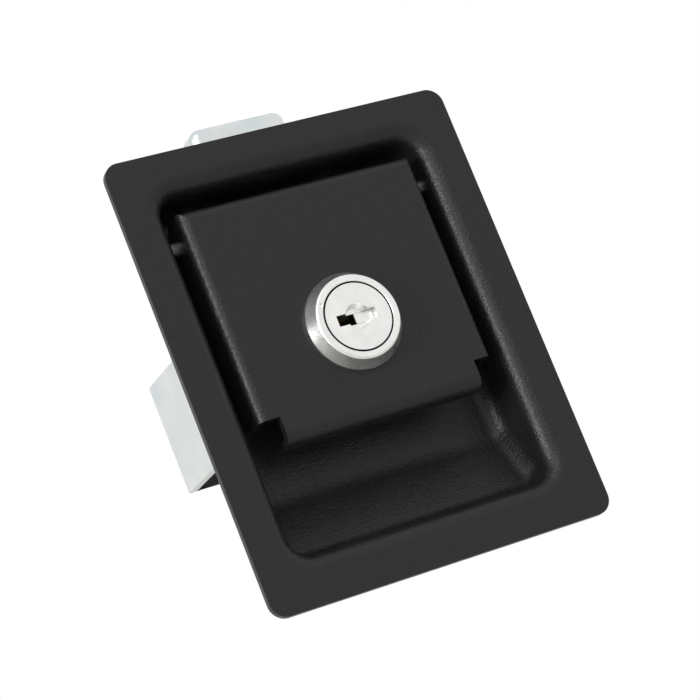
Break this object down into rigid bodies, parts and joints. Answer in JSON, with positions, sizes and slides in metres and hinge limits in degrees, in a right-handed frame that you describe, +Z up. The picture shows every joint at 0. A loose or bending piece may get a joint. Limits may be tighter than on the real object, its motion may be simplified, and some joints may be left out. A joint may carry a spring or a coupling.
{
  "type": "paddle latch",
  "caption": "Flush paddle latch: pressed dish, lockable folded paddle on a cross pin, and a spring bolt that the paddle draws back; a rear strap clamps it in a panel cut-out.",
  "frame": {"origin": "centre of the panel cut-out, in the panel's front face (the back face of the flange)", "axes": "+Z up towards the bolt end, +Y into the panel, away from the user, +X to the right as the user faces the paddle"},
  "size_m": [0.068, 0.0337, 0.0919],
  "materials": {
    "powder_coat": "fine textured black powder coat",
    "zinc_plate": "bright blue-white zinc plating",
    "bright_pin": "bright drawn steel",
    "satin_nickel": "satin nickel plating on a zinc casting",
    "brass": "stamped brass",
    "spring_steel": "zinc-plated spring wire"
  },
  "bodies": {
    "dish": {"pan": "powder_coat", "hinge_pin": "bright_pin", "bolt_guide": "zinc_plate", "guide_rivets": "zinc_plate", "weld_studs": "zinc_plate", "mounting_bracket": "zinc_plate", "stud_washers": "zinc_plate", "stud_nuts": "zinc_plate", "bolt_spring": "spring_steel"},
    "paddle": {"paddle": "powder_coat", "lock_housing": "satin_nickel", "lock_nut": "zinc_plate", "lock_nut_washer": "zinc_plate"},
    "lock": {"lock_plug": "satin_nickel", "dust_shutter": "satin_nickel", "wafers": "brass", "wafer_springs": "spring_steel", "lock_cam": "zinc_plate", "cam_washer": "zinc_plate", "cam_screw": "zinc_plate"},
    "bolt": {"bolt": "zinc_plate"}
  },
  "joints": [
    {"name": "paddle_hinge", "type": "hinge", "parent": "dish", "child": "paddle", "pos_m": [0, 0.0041, 0.0258], "axis": [-1, 0, 0], "range_deg": [0, 40]},
    {"name": "lock_turn", "type": "hinge", "parent": "paddle", "child": "lock", "pos_m": [0, 0, 0.0036], "axis": [0, 1, 0], "range_deg": [0, 90]},
    {"name": "bolt_slide", "type": "slide", "parent": "dish", "child": "bolt", "axis": [0, 0, -1], "range_m": [0, 0.00778], "stiffness_N_per_m": 300, "springref_m": -0.01, "deforming": ["bolt_spring"]}
  ],
  "couplings": [
    {"joint": "paddle_hinge", "follows": "bolt_slide", "rad_per_m": 89.7}
  ]
}
